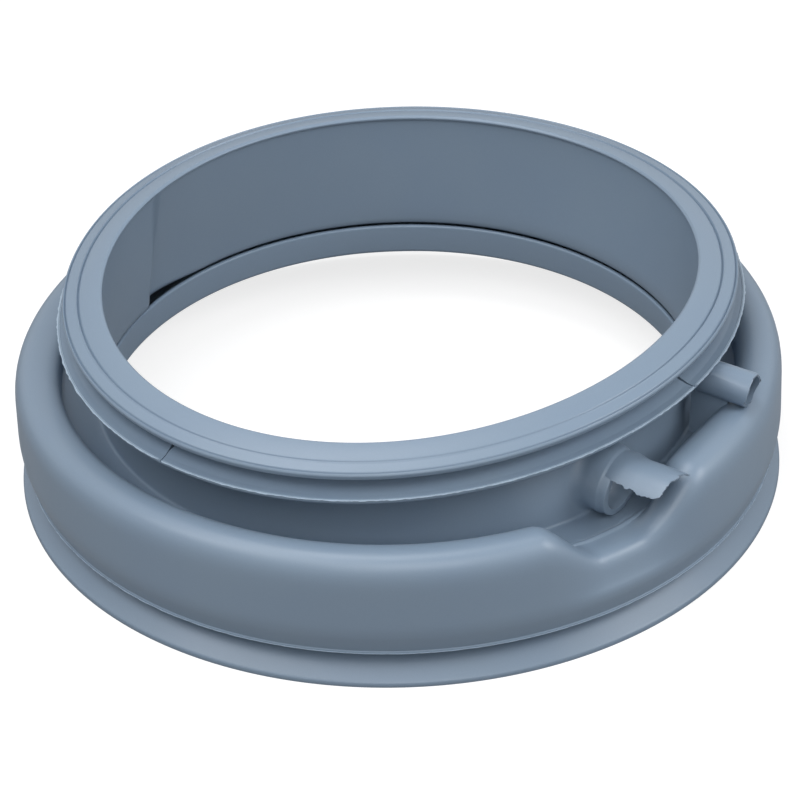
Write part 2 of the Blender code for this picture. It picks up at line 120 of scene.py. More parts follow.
# Shape of the roll and of its recess round the ring
ROLL_SAG = 0.0065
ROLL_SAG_AT = radians(200)
ROLL_SAG_HALF_WIDTH = radians(85)
SADDLE_AT = radians(17)
SADDLE_HALF_WIDTH = radians(9)
SADDLE_DEPTH = 0.0016
SWELL_AT = radians(5)
SWELL_HALF_WIDTH = radians(16)
SWELL_IN = 0.0040
SWELL_UP = 0.0010
RECESS_FROM = radians(-32.0)
RECESS_DOWN = radians(-21.0)
RECESS_UP = radians(-14.5)
RECESS_TO = radians(-1.6)
RIDGE_RISE = 0.0013
RIDGE_RADIUS = 0.1722
RIDGE_WIDTH = 0.0020
RECESS_SHOULDER_RADIUS = 0.1880
RECESS_SHOULDER_SOFTNESS = 0.0052
CREASE_RADIUS = 0.1912
CREASE_HEIGHT = 0.0362

# Ports, the torn flap of the lower one, and the web under the upper one
LOWER_PORT_END = (0.1628, -0.0344, 0.0664)
LOWER_PORT_TURN = radians(0)
LOWER_PORT_FALL = radians(6)
LOWER_PORT_RADIUS = 0.0156
LOWER_PORT_WALL = 0.0037
COLLAR_STEP = 0.0008
COLLAR_SETBACK = 0.0044
FLAP_LENGTH = 0.0280
FLAP_WALL = 0.0015
FLAP_FROM = radians(38)
FLAP_TO = radians(150)
FLAP_DROOP = radians(-7)
FLAP_RISE = 0.0028
FLAP_SPREAD = 0.22
FLAP_SPREAD_WITHIN = 0.0040
FLAP_THINNING = 0.5
FLAP_SIDE_TEAR = 0.06
FLAP_SIDE_NICKS = 0.04
FLAP_END_TEAR = 0.0014
FLAP_END_NICKS = 0.0008
FLAP_CORNER_LOSS = 0.0036
FLAP_CORNER_SHARE = 0.14
UPPER_PORT_END = (0.1810, 0.0518, 0.0812)
UPPER_PORT_TURN = radians(11)
UPPER_PORT_FALL = radians(3)
UPPER_PORT_RADIUS = 0.0086
UPPER_PORT_WALL = 0.0012
UPPER_PORT_EDGE = 0.0004
UPPER_PORT_TEAR = 0.0013
UPPER_PORT_SLANT = 0.0017
PORT_SIDES = 72
PORT_ROOT = 0.0032
WEB_WALL = 0.0022
WEB_GAP = 0.0034
WEB_LEAN = 0.0036

# Tears through the cabinet flange, each outlined by (radius in metres, degrees round the ring)
TEARS = (((0.1575, 5.2), (0.1618, 5.5), (0.1750, 5.5), (0.1750, 5.7), (0.1618, 6.1),
          (0.1606, 9.4), (0.1575, 9.8)),
         ((0.1575, -95.6), (0.1645, -94.85), (0.1750, -94.2), (0.1750, -94.1), (0.1645, -94.7),
          (0.1575, -94.3)))

# Steps round the ring, finer where the section changes: (from, to, step) in degrees
STATION_ZONES = ((-36, -1, 0.5), (-1, 24, 1.0), (24, 160, 1.4), (160, 180, 1.0),
                 (180, 192, 0.5), (192, 324, 1.4))

# Points on each rounded corner of the folded wall, outer side and hidden side, and of the web
SHOWN_STEPS = (3, 7, 3, 3, 6, 4, 10, 10, 6, 5)
HIDDEN_STEPS = (2, 4, 2, 2, 3, 2, 5, 5, 2, 2)
WEB_STEPS = (1, 1, 1, 1, 3, 1, 3)

# How far from a corner its soft edge starts on the other outlines, in metres, and its points
TUB_SIDE_SOFTNESS = 0.0006
LIP_SOFTNESS = 0.0004
RING_SOFTNESS = 0.0007
EDGE_STEPS = 2
MERGE_DISTANCE = 1e-6
SHARP_FROM = radians(42)

# Dark and light tones of the rubber, and of its thin flash, whose paler tones are a painted
# highlight for the light that the thin fin catches and lets through
RUBBER_TONES = ("#74869a", "#78899a")
PAINTED_HIGHLIGHT_FLASH_TONES = ("#9fb2c4", "#a9bac9")

# Photograph: where it looks from, and how far its horizon and the ring are turned
PHOTO_WIDTH = 800
PHOTO_FOCUS = 4641.0
PHOTO_FALL = radians(34.20)
PHOTO_ROLL = radians(-2.02)
PHOTO_TURN = radians(38)
PHOTO_AZIMUTH = radians(-52)

# Soft boxes: name, degrees round from the camera, degrees up, metres away, metres wide, watts
LAMPS = (("front", 0, 42, 1.9, 1.1, 12), ("key", -62, 52, 1.6, 0.9, 9.5),
         ("right", 75, 35, 1.8, 0.9, 14), ("top", -124, 80, 1.7, 0.8, 9))
LAMPS_LOOK_AT = Vector((0, 0, 0.05))
FILL_LIGHT = 0.29
SEEN_WHITE = 1.0
FLOOR_PAINT = 0.35
FLOOR_GLOW = 0.76
FLOOR_HALF_WIDTH = 6


def put(tree, kind, *inputs, **settings):
    """Add a node with its settings; inputs are values or sockets, in order, None to leave one."""
    item = tree.nodes.new(kind)
    for name, value in settings.items():
        setattr(item, name, value)
    sockets = [socket for socket in item.inputs if socket.enabled]
    for socket, value in zip(sockets, inputs):
        if isinstance(value, bpy.types.NodeSocket):
            tree.links.new(value, socket)
        elif value is not None:
            socket.default_value = value
    return next((socket for socket in item.outputs if socket.enabled), None)


def shape_tree(name, sizes):
    """Geometry Nodes tree with a named input for each size; returns it and those sockets."""
    kinds = {float: "NodeSocketFloat", int: "NodeSocketInt", bpy.types.Object: "NodeSocketObject",
             bpy.types.Material: "NodeSocketMaterial"}
    tree = bpy.data.node_groups.new(name, "GeometryNodeTree")
    tree.interface.new_socket("Geometry", in_out="OUTPUT", socket_type="NodeSocketGeometry")
    tree.interface.new_socket("Geometry", in_out="INPUT", socket_type="NodeSocketGeometry")
    for label, value in sizes.items():
        tree.interface.new_socket(label, in_out="INPUT", socket_type=kinds[type(value)])
    inlet = tree.nodes.new("NodeGroupInput")
    return tree, {socket.name: socket for socket in inlet.outputs if socket.name}


def close_tree(tree, geometry, material):
    """End a tree with Realize Instances and Set Material."""
    whole = put(tree, "GeometryNodeRealizeInstances", geometry)
    finished = put(tree, "GeometryNodeSetMaterial", whole, None, material)
    put(tree, "NodeGroupOutput", finished)


def placed(name, data):
    """Object with this data, linked to the scene."""
    item = bpy.data.objects.new(name, data)
    bpy.context.scene.collection.objects.link(item)
    return item


def apply_modifiers(item):
    """Keep an object's evaluated shape as its plain mesh."""
    graph = bpy.context.evaluated_depsgraph_get()
    result = bpy.data.meshes.new_from_object(item.evaluated_get(graph))
    item.modifiers.clear()
    item.data = result


def grown(name, mesh, tree, sizes):
    """Run a mesh through a tree with these sizes and keep the result as a plain mesh."""
    item = placed(name, mesh)
    modifier = item.modifiers.new(name, "NODES")
    modifier.node_group = tree
    for socket in tree.interface.items_tree:
        if socket.in_out == "INPUT" and socket.name in sizes:
            modifier[socket.identifier] = sizes[socket.name]
    apply_modifiers(item)
    return item


def eased(tree, value, low, high, first, last):
    """Map a value from low..high to first..last with a soft start and end."""
    return put(tree, MAP_RANGE, value, low, high, first, last, interpolation_type="SMOOTHSTEP")


def turn_away(tree, angle, place):
    """Angle between a point and a place round the ring, the shorter way and never negative."""
    away = put(tree, MATH, angle, place, operation="SUBTRACT")
    away = put(tree, MATH, away, pi, -pi, operation="WRAP")
    return put(tree, MATH, away, operation="ABSOLUTE")


def twice_round(tree, angle, place):
    """Wave with two crests round the ring, the first one at a place."""
    away = put(tree, MATH, angle, place, operation="SUBTRACT")
    return put(tree, MATH, put(tree, MATH, away, 2.0, operation="MULTIPLY"), operation="COSINE")


def linear(code):
    """Linear colour from an sRGB hex value such as '#6f7f90'."""
    parts = [int(code[i:i + 2], 16) / 255 for i in (1, 3, 5)]
    return tuple(p / 12.92 if p <= 0.04045 else ((p + 0.055) / 1.055) ** 2.4
                 for p in parts) + (1.0,)


# ---- Section of the wall

def fold_height():
    return TUB_RING_TOP + TUB_RING_GAP


def skirt_underside(radius):
    return (FLANGE_RADIUS - FOOT_WIDTH - radius) * tan(SKIRT_SLOPE)


def skirt_top(radius):
    return skirt_underside(radius) + SKIRT_WALL / cos(SKIRT_SLOPE)


def outer_foot_height():
    return skirt_top(CLAMP_GROOVE_RADIUS) + CLAMP_GROOVE_HEIGHT - WALL / 4


def groove_floor_low():
    return CABINET_FLANGE_TOP + CABINET_FLANGE_RISE


def groove_floor_high():
    return groove_floor_low() + CABINET_GROOVE_WIDTH


def lip_edge_low():
    return groove_floor_high() + LIP_UNDERSIDE_RISE


def mix(first, second, share):
    """Point at this share of the way from the first to the second."""
    return tuple(a + (b - a) * share for a, b in zip(first, second))


def bellows_centre(crest, swell, recessed):
    """Corners of the folded wall's centre line, from the lip down to the outer foot."""
    inner = INNER_RADIUS + WALL / 2
    floor = fold_height() + WALL / 2
    trough = TROUGH_OUTER_RADIUS + WALL / 2 - swell
    outer = ROLL_RADIUS - WALL / 2
    low = ROLL_SHOULDER - 3 * WALL
    foot = (OUTER_FOOT_RADIUS - WALL / 2, outer_foot_height() + WALL)
    start = [(inner, floor + FOLD_REACH), (inner, floor), (inner + FOLD_REACH, floor)]
    if recessed:
        shoulder = RECESS_SHOULDER_RADIUS - RECESS_SHOULDER_SOFTNESS
        return start + [(RIDGE_RADIUS - RIDGE_WIDTH / 2, floor), (RIDGE_RADIUS, floor + RIDGE_RISE),
                        (RIDGE_RADIUS + RIDGE_WIDTH, floor - RIDGE_RISE / 4),
                        (shoulder, floor + RIDGE_RISE / 4),
                        (RECESS_SHOULDER_RADIUS, floor - WALL / 4),
                        (CREASE_RADIUS, CREASE_HEIGHT), (outer, low), foot]
    bottom = (trough, floor + TROUGH_RISE)
    return start + [mix(start[-1], bottom, 0.7), bottom, (trough, bottom[1] + WALL),
                    (trough, crest - WALL / 2), (outer, crest - WALL / 2),
                    (outer, ROLL_SHOULDER + WALL), (outer, low), foot]


def rounded(corners, start, samples):
    """Points and runs along a line that rounds each corner between edge middles."""
    path = [start] + corners
    line = []
    for before, corner, after, count in zip(path, path[1:], path[2:], samples):
        left = mix(before, corner, 0.5)
        right = mix(corner, after, 0.5)
        for step in range(count):
            t = step / count
            point = mix(mix(left, corner, t), mix(corner, right, t), t)
            run = mix((corner[0] - left[0], corner[1] - left[1]),
                      (right[0] - corner[0], right[1] - corner[1]), t)
            line.append((point, run))
    end = corners[-1]
    line.append((end, (end[0] - path[-2][0], end[1] - path[-2][1])))
    return line


def offset(line, distance):
    """Shift a line sideways; positive is to the left of its run."""
    shifted = []
    for (r, z), (dr, dz) in line:
        length = hypot(dr, dz)
        shifted.append((r - dz / length * distance, z + dr / length * distance))
    return shifted


def softened(corners, reach, steps):
    """Round the corners of an open outline: the curve starts at most reach before each one."""
    line = [corners[0]]
    for before, corner, after in zip(corners, corners[1:], corners[2:]):
        cuts = []
        for end in (before, after):
            length = hypot(end[0] - corner[0], end[1] - corner[1])
            cuts.append(mix(corner, end, min(0.46, reach / length)))
        for step in range(steps + 1):
            t = step / steps
            line.append(mix(mix(cuts[0], corner, t), mix(corner, cuts[1], t), t))
    line.append(corners[-1])
    return line


def tub_side_outline():
    """Foot, skirt, clamp groove and the outer wall's foot, from the inside outward."""
    foot_z = outer_foot_height()
    groove_low = skirt_top(CLAMP_GROOVE_RADIUS)
    edge_low = foot_z + WALL / 4
    skirt_end = FLANGE_RADIUS - SKIRT_WALL / 6
    groove_mouth = CLAMP_GROOVE_RADIUS + CLAMP_GROOVE_HEIGHT / 2
    return [(FLANGE_RADIUS - FOOT_WIDTH, 0.0),
            (FLANGE_RADIUS, 0.0),
            (FLANGE_RADIUS, FLANGE_EDGE - SKIRT_WALL / 6),
            (skirt_end, skirt_top(skirt_end)),
            (groove_mouth, skirt_top(groove_mouth)),
            (CLAMP_GROOVE_RADIUS, groove_low + CLAMP_GROOVE_HEIGHT / 3),
            (CLAMP_GROOVE_RADIUS + CLAMP_GROOVE_HEIGHT / 3, foot_z),
            (OUTER_FOOT_RADIUS - WALL / 3, foot_z),
            (OUTER_FOOT_RADIUS, edge_low),
            (OUTER_FOOT_RADIUS, edge_low + OUTER_FOOT_EDGE),
            (OUTER_FOOT_RADIUS - OUTER_FOOT_EDGE / 2, edge_low + 1.8 * OUTER_FOOT_EDGE)]


def lip_outline():
    """Cabinet flange, groove and lip, from the inner wall's outer face over to its inner face."""
    wall_out = INNER_RADIUS + WALL
    flange_low = CABINET_FLANGE_TOP - CABINET_FLANGE_EDGE
    flange_root = groove_floor_low() - CABINET_FLANGE_ROOT
    bead = CABINET_FLANGE_RADIUS - CABINET_FLANGE_BEAD
    edge_top = lip_edge_low() + LIP_EDGE
    slope = (LIP_TOP - edge_top) / (LIP_RADIUS - LIP_INNER_RADIUS)

    def lip_top(radius):
        return edge_top + (LIP_RADIUS - radius) * slope

    return [(wall_out, flange_root - CABINET_FLANGE_WALL),
            (wall_out + WALL, flange_root - CABINET_FLANGE_WALL / 5),
            (CABINET_FLANGE_RADIUS - CABINET_FLANGE_EDGE / 2, flange_low - CABINET_FLANGE_EDGE / 4),
            (CABINET_FLANGE_RADIUS, flange_low + CABINET_FLANGE_EDGE / 3),
            (CABINET_FLANGE_RADIUS, CABINET_FLANGE_TOP + FLASH / 2),
            (CABINET_FLANGE_RADIUS - FLASH, CABINET_FLANGE_TOP + FLASH),
            (CABINET_FLANGE_RADIUS - 2 * FLASH, CABINET_FLANGE_TOP - FLASH / 4),
            (bead, CABINET_FLANGE_TOP + LINE_DEPTH / 6),
            (CABINET_GROOVE_RADIUS + CABINET_GROOVE_WIDTH / 2, groove_floor_low()),
            (CABINET_GROOVE_RADIUS, groove_floor_low() + CABINET_GROOVE_WIDTH / 3),
            (CABINET_GROOVE_RADIUS, groove_floor_high() - CABINET_GROOVE_WIDTH / 4),
            (CABINET_GROOVE_RADIUS + CABINET_GROOVE_WIDTH / 2, groove_floor_high()),
            (LIP_RADIUS - LIP_EDGE / 2, lip_edge_low()),
            (LIP_RADIUS - LIP_EDGE / 4, lip_edge_low() + LIP_EDGE / 5),
            (LIP_RADIUS, edge_top - LIP_EDGE / 4),
            (LIP_RADIUS - LIP_EDGE / 6, lip_top(LIP_RADIUS - LIP_EDGE / 6)),
            (STEP_RADIUS + LINE_DEPTH / 4, lip_top(STEP_RADIUS) - LINE_DEPTH / 3),
            (STEP_RADIUS - LINE_DEPTH / 6, lip_top(STEP_RADIUS) - LINE_DEPTH),
            (STEP_RADIUS - LINE_DEPTH / 2, lip_top(STEP_RADIUS)),
            (LINE_RADIUS + LINE_DEPTH, lip_top(LINE_RADIUS + LINE_DEPTH)),
            (LINE_RADIUS + LINE_DEPTH / 2, lip_top(LINE_RADIUS) + LINE_DEPTH / 6),
            (LINE_RADIUS, lip_top(LINE_RADIUS) - LINE_DEPTH),
            (LINE_RADIUS - LINE_DEPTH / 2, lip_top(LINE_RADIUS)),
            (LIP_INNER_RADIUS + LIP_NOSE / 2, LIP_TOP),
            (LIP_INNER_RADIUS, LIP_TOP - LIP_NOSE / 3),
            (LIP_INNER_RADIUS + LIP_NOSE / 8, LIP_TOP - 0.8 * LIP_NOSE),
            (INNER_RADIUS, LIP_TOP - LIP_NOSE)]


def ring_outline():
    """Cavity floor, skirt and upright ring, from the outer wall inward to the foot."""
    floor_z = outer_foot_height() + WALL
    outer_face = TUB_RING_RADIUS + TUB_RING_WALL
    neck = CLAMP_GROOVE_RADIUS - CLAMP_NECK
    soft = TUB_RING_WALL / 4
    return [(OUTER_FOOT_RADIUS - 1.3 * WALL, floor_z),
            (neck + WALL, floor_z),
            (neck, skirt_top(neck)),
            (outer_face + WALL / 2, skirt_top(outer_face + WALL / 2)),
            (outer_face, skirt_top(outer_face) + WALL / 2),
            (outer_face, TUB_RING_TOP - soft),
            (outer_face - soft, TUB_RING_TOP),
            (TUB_RING_RADIUS + soft, TUB_RING_TOP),
            (TUB_RING_RADIUS, TUB_RING_TOP - soft),
            (TUB_RING_RADIUS, skirt_underside(TUB_RING_RADIUS) + soft),
            (TUB_RING_RADIUS + soft, skirt_underside(TUB_RING_RADIUS + soft))]


def section(crest, swell, recessed):
    """Closed outline of the wall, as (radius, height) pairs."""
    corners = bellows_centre(crest, swell, recessed)
    top = (INNER_RADIUS + WALL / 2, groove_floor_low() - 3 * CABINET_FLANGE_WALL)
    shown = offset(rounded(corners, top, SHOWN_STEPS), WALL / 2)
    hidden = offset(rounded(corners, top, HIDDEN_STEPS), -WALL / 2)
    return (softened(tub_side_outline(), TUB_SIDE_SOFTNESS, EDGE_STEPS) + shown[-2::-1]
            + softened(lip_outline(), LIP_SOFTNESS, EDGE_STEPS) + hidden[:-1]
            + softened(ring_outline(), RING_SOFTNESS, EDGE_STEPS))


def guide(name, points):
    """Loose points, in order, that a tree reads by their index."""
    mesh = bpy.data.meshes.new(name)
    mesh.from_pydata(points, [], [])
    return placed(name, mesh)


def ring_tree(sizes):
    """Sweep four sections round the axis: high, sagged and swollen roll, and the recess."""
    tree, given = shape_tree("Bellows ring", sizes)
    across = put(tree, MATH, given["Points across"], 1.0, operation="ADD")
    around = put(tree, MATH, given["Stations"], 1.0, operation="ADD")
    grid = put(tree, "GeometryNodeMeshGrid", 1.0, 1.0, around, across)
    index = put(tree, "GeometryNodeInputIndex")
    station = put(tree, MATH, put(tree, MATH, index, across, operation="DIVIDE"), operation="FLOOR")
    turn = put(tree, MATH, station, given["Stations"], operation="FLOORED_MODULO")
    step = put(tree, MATH, index, across, operation="FLOORED_MODULO")
    point = put(tree, MATH, step, given["Points across"], operation="FLOORED_MODULO")
    position = put(tree, "GeometryNodeInputPosition")
    found = {}
    for label, place in (("Stations round", turn), ("High roll", point), ("Sagged roll", point),
                         ("Swollen roll", point), ("Recess", point)):
        info = tree.nodes.new("GeometryNodeObjectInfo")
        tree.links.new(given[label], info.inputs["Object"])
        found[label] = put(tree, SAMPLE_INDEX, info.outputs["Geometry"], position, place,
                           data_type="FLOAT_VECTOR", domain="POINT", clamp=True)
    angle = put(tree, "ShaderNodeSeparateXYZ", found["Stations round"])
    shares = {}
    for mark in ("Sag", "Saddle", "Swell"):
        away = turn_away(tree, angle, given[mark + " at"])
        shares[mark] = eased(tree, away, 0.0, given[mark + " half width"],
                             given[mark + " share"], 0.0)
    sag = put(tree, MATH, shares["Sag"], shares["Saddle"], operation="ADD")
    down = eased(tree, angle, given["Recess from"], given["Recess down"], 0.0, 1.0)
    up = eased(tree, angle, given["Recess up"], given["Recess to"], 0.0, 1.0)
    low = put(tree, MATH, down, up, operation="SUBTRACT")
    roll = put(tree, "ShaderNodeMix", sag, found["High roll"], found["Sagged roll"],
               data_type="VECTOR", clamp_factor=False)
    roll = put(tree, "ShaderNodeMix", shares["Swell"], roll, found["Swollen roll"],
               data_type="VECTOR")
    outline = put(tree, "ShaderNodeMix", low, roll, found["Recess"], data_type="VECTOR")
    around_axis = put(tree, "ShaderNodeVectorRotate", outline, None, angle,
                      rotation_type="Z_AXIS")
    swept = put(tree, "GeometryNodeSetPosition", grid, None, around_axis)
    closed = put(tree, "GeometryNodeMergeByDistance", swept, None, MERGE_DISTANCE)
    smooth = put(tree, "GeometryNodeSetShadeSmooth", closed)
    close_tree(tree, smooth, given["Rubber"])
    return tree


def bend_tree(sizes):
    """Move the true ring to where the lying, slightly bent rubber has it."""
    tree, given = shape_tree("Lying bend", sizes)
    place = put(tree, "GeometryNodeInputPosition")
    split = tree.nodes.new("ShaderNodeSeparateXYZ")
    tree.links.new(place, split.inputs[0])
    x, y, z = split.outputs
    flat = put(tree, VECTOR_MATH, place, (1.0, 1.0, 0.0), operation="MULTIPLY")
    length = tree.nodes.new(VECTOR_MATH)
    length.operation = "LENGTH"
    tree.links.new(flat, length.inputs[0])
    radius = length.outputs["Value"]
    angle = put(tree, MATH, y, x, operation="ARCTAN2")
    near = eased(tree, radius, INNER_RADIUS + 2 * WALL, TROUGH_OUTER_RADIUS, 1.0, 0.0)
    over = eased(tree, z, ROLL_TOP + 4 * WALL, given["Bend full"], 0.0, 1.0)
    high = eased(tree, z, given["Bend start"], given["Bend full"], 0.0, 1.0)
    bend = put(tree, MATH, high, put(tree, MATH, near, over, operation="MAXIMUM"),
               operation="MULTIPLY")
    above = eased(tree, z, TUB_RING_TOP, fold_height(), 0.0, 1.0)
    below = eased(tree, z, ROLL_TOP, groove_floor_low(), 1.0, 0.0)
    wall = put(tree, MATH, near, put(tree, MATH, above, below, operation="MULTIPLY"),
               operation="MULTIPLY")
    out = eased(tree, radius, CLAMP_GROOVE_RADIUS, FLANGE_RADIUS, 0.0, 1.0)
    under = eased(tree, z, skirt_top(CLAMP_GROOVE_RADIUS), outer_foot_height(), 1.0, 0.0)
    skirt = put(tree, MATH, out, under, operation="MULTIPLY")
    full_turn = put(tree, MATH, angle, 2 * pi, 0.0, operation="WRAP")
    before = put(tree, MATH, given["Crease"], given["Crease width"], operation="SUBTRACT")
    after = put(tree, MATH, given["Crease width"], 0.5, given["Crease"], operation="MULTIPLY_ADD")
    pushed = eased(tree, full_turn, given["Dent from"], before, 0.0, given["Dent depth"])
    past = eased(tree, full_turn, before, after, 0.0, 1.0)
    drawn = eased(tree, full_turn, given["Crease"], given["Overlap to"],
                  given["Overlap depth"], 0.0)
    drawn = put(tree, MATH, drawn, -1.0, operation="MULTIPLY")
    dent = put(tree, "ShaderNodeMix", past, pushed, drawn, data_type="FLOAT")
    dent = put(tree, MATH, dent, wall, operation="MULTIPLY")
    oval = twice_round(tree, angle, given["Lip oval at"])
    oval = put(tree, MATH, oval, given["Lip oval"], operation="MULTIPLY")
    grow = put(tree, MATH, oval, bend, dent, operation="MULTIPLY_ADD")
    grow = put(tree, "ShaderNodeVectorRotate", put(tree, "ShaderNodeCombineXYZ", grow), None,
               angle, rotation_type="Z_AXIS")
    shift = put(tree, MATH, given["Lip shift"], bend, operation="MULTIPLY")
    shift = put(tree, "ShaderNodeVectorRotate", put(tree, "ShaderNodeCombineXYZ", shift), None,
                given["Lip shift at"], rotation_type="Z_AXIS")
    away = put(tree, MATH, angle, given["Lip lean at"], operation="SUBTRACT")
    lean = put(tree, MATH, put(tree, MATH, away, operation="COSINE"), given["Lip lean"],
               operation="MULTIPLY")
    warp = twice_round(tree, angle, given["Lip warp at"])
    lift = put(tree, MATH, warp, given["Lip warp"], lean, operation="MULTIPLY_ADD")
    away = turn_away(tree, angle, given["Skirt lift at"])
    edge = eased(tree, away, 0.0, given["Skirt lift half width"], given["Skirt lift"], 0.0)
    edge = put(tree, MATH, edge, skirt, operation="MULTIPLY")
    rise = put(tree, MATH, lift, bend, edge, operation="MULTIPLY_ADD")
    rise = put(tree, "ShaderNodeCombineXYZ", 0.0, 0.0, rise)
    move = put(tree, VECTOR_MATH, put(tree, VECTOR_MATH, grow, shift, operation="ADD"), rise,
               operation="ADD")
    bent = put(tree, "GeometryNodeSetPosition", given["Geometry"], None, None, move)
    close_tree(tree, bent, given["Rubber"])
    return tree


# ---- Ports, flap and tears

def port_frame(end, turn, fall):
    """Frame at a port's end, with its X axis out along the pipe."""
    return Matrix.Translation(end) @ Matrix.Rotation(turn, 4, "Z") @ Matrix.Rotation(fall, 4, "Y")


def port_reach(end, turn):
    """Distance from a port's end back to the middle of the inner wall, along its turn."""
    middle = INNER_RADIUS + WALL / 2
    along = end[0] * cos(turn) + end[1] * sin(turn)
    across = end[1] * cos(turn) - end[0] * sin(turn)
    return along - sqrt(middle ** 2 - across ** 2)


def join_rings(mesh, here, there):
    """Faces between two rings with the same number of points."""
    for i in range(len(here)):
        j = (i + 1) % len(here)
        mesh.faces.new((here[i], here[j], there[j], there[i]))


def skinned(mesh, rings):
    """Closed solid from a stack of rings."""
    for here, there in zip(rings, rings[1:]):
        join_rings(mesh, here, there)
    mesh.faces.new(rings[0])
    mesh.faces.new(rings[-1])
    bmesh.ops.recalc_face_normals(mesh, faces=mesh.faces)
    return mesh


def turned(profile, uneven=0.0, slant=0.0):
    """Solid turned about its own X axis from (x, radius) pairs; its last ring may be torn."""
    # Tears and nicks round the pipe's end, and how deep the nicks are beside the tears
    coarse, fine, fine_share, seed = 2, 9, 0.5, 1.2
    mesh = bmesh.new()
    rings = []
    for number, (x, radius) in enumerate(profile):
        ring = []
        for i in range(PORT_SIDES):
            angle = 2 * pi * (i + 0.5) / PORT_SIDES
            ragged = 0.0
            if uneven and number >= len(profile) - 2:
                around = Vector((cos(angle), sin(angle), seed))
                ragged = uneven * (noise.noise(coarse * around)
                                   + fine_share * noise.noise(fine * around))
                ragged += slant * sin(angle)
            ring.append(mesh.verts.new((x + ragged, radius * cos(angle), radius * sin(angle))))
        rings.append(ring)
    return skinned(mesh, rings)


def onto_wall(mesh, frame, root):
    """Bend a port's root to the round wall that it grows from."""
    for vertex in mesh.verts:
        weight = 1 - min(1.0, max(0.0, (vertex.co.x - root - WALL / 2) / (2 * PORT_ROOT)))
        spot = frame @ Vector((root, vertex.co.y, vertex.co.z))
        middle = INNER_RADIUS + WALL / 2
        wanted = sqrt(middle ** 2 - spot.y ** 2) - spot.x
        vertex.co.x += wanted * weight


def flap_mesh():
    """Upper half of the torn pipe, a little opened out, with a torn edge all round."""
    steps_round, steps_along = 40, 36
    # How close together the tears and nicks are
    side_tears, side_nicks, end_tears, end_nicks = 9, 31, 5, 19
    start = -COLLAR_SETBACK
    mesh = bmesh.new()
    skins = []
    for inset in (0.0, FLAP_WALL):
        rows = []
        for k in range(steps_along + 1):
            row = []
            along = k / steps_along
            for i in range(steps_round + 1):
                share = i / steps_round
                side = 4.0 * round(share)
                tear = noise.noise(Vector((along * side_tears, side, 2.5)))
                nick = noise.noise(Vector((along * side_nicks, side, 7.5)))
                near_edge = abs(2 * share - 1) ** 6
                begin = FLAP_FROM - FLAP_DROOP * (1 - along)
                angle = begin + (FLAP_TO - begin) * share
                ragged = FLAP_SIDE_TEAR * tear + FLAP_SIDE_NICKS * nick
                angle += ragged * near_edge * (1 if share < 0.5 else -1)
                torn = noise.noise(Vector((angle * end_tears, 1.3, 0.4))) * FLAP_END_TEAR
                torn += noise.noise(Vector((angle * end_nicks, 5.1, 0.4))) * FLAP_END_NICKS
                torn -= FLAP_CORNER_LOSS * max(0.0, 1 - share / FLAP_CORNER_SHARE) ** 2
                reach = FLAP_LENGTH + torn - start
                x = start + reach * along
                opened = min(1.0, max(0.0, x / FLAP_LENGTH))
                opened = opened * opened * (3 - 2 * opened)
                thin = 1 - FLAP_THINNING * along ** 6
                radius = LOWER_PORT_RADIUS - inset * thin
                begun = min(1.0, (x - start) / FLAP_SPREAD_WITHIN)
                spread = FLAP_SPREAD * share * share * begun
                y = -radius * cos(angle) * (1 + spread)
                z = radius * sin(angle) * (1 + spread / 2) + FLAP_RISE * opened
                row.append(mesh.verts.new((x, y, z)))
            rows.append(row)
        skins.append(rows)
    outer, inner = skins
    for rows in skins:
        for low, high in zip(rows, rows[1:]):
            for i in range(steps_round):
                mesh.faces.new((low[i], low[i + 1], high[i + 1], high[i]))
    for k in range(steps_along):
        mesh.faces.new((outer[k][0], outer[k + 1][0], inner[k + 1][0], inner[k][0]))
        mesh.faces.new((outer[k][-1], outer[k + 1][-1], inner[k + 1][-1], inner[k][-1]))
    for i in range(steps_round):
        mesh.faces.new((outer[0][i], outer[0][i + 1], inner[0][i + 1], inner[0][i]))
        mesh.faces.new((outer[-1][i], outer[-1][i + 1], inner[-1][i + 1], inner[-1][i]))
    bmesh.ops.recalc_face_normals(mesh, faces=mesh.faces)
    return mesh


def as_object(name, mesh, place=Matrix.Identity(4)):
    """Object from a bmesh, which is freed."""
    mesh.transform(place)
    data = bpy.data.meshes.new(name)
    mesh.to_mesh(data)
    mesh.free()
    return placed(name, data)


def cut_or_join(body, tool, operation):
    """Apply a Boolean with a tool object, then remove the tool."""
    change = body.modifiers.new(operation, "BOOLEAN")
    change.operation = operation
    change.object = tool
    change.solver = "MANIFOLD"
    apply_modifiers(body)
    bpy.data.objects.remove(tool)


def root_profile(radius, root, end_profile):
    """Pipe profile that flares in a fillet to meet the wall at root."""
    steps = 6
    fillet = []
    for step in range(steps + 1):
        turn = pi / 2 * step / steps
        fillet.append((root + WALL / 2 + PORT_ROOT * (1 - cos(turn)),
                       radius + PORT_ROOT * (1 - sin(turn))))
    return [(root, radius + PORT_ROOT)] + fillet + end_profile


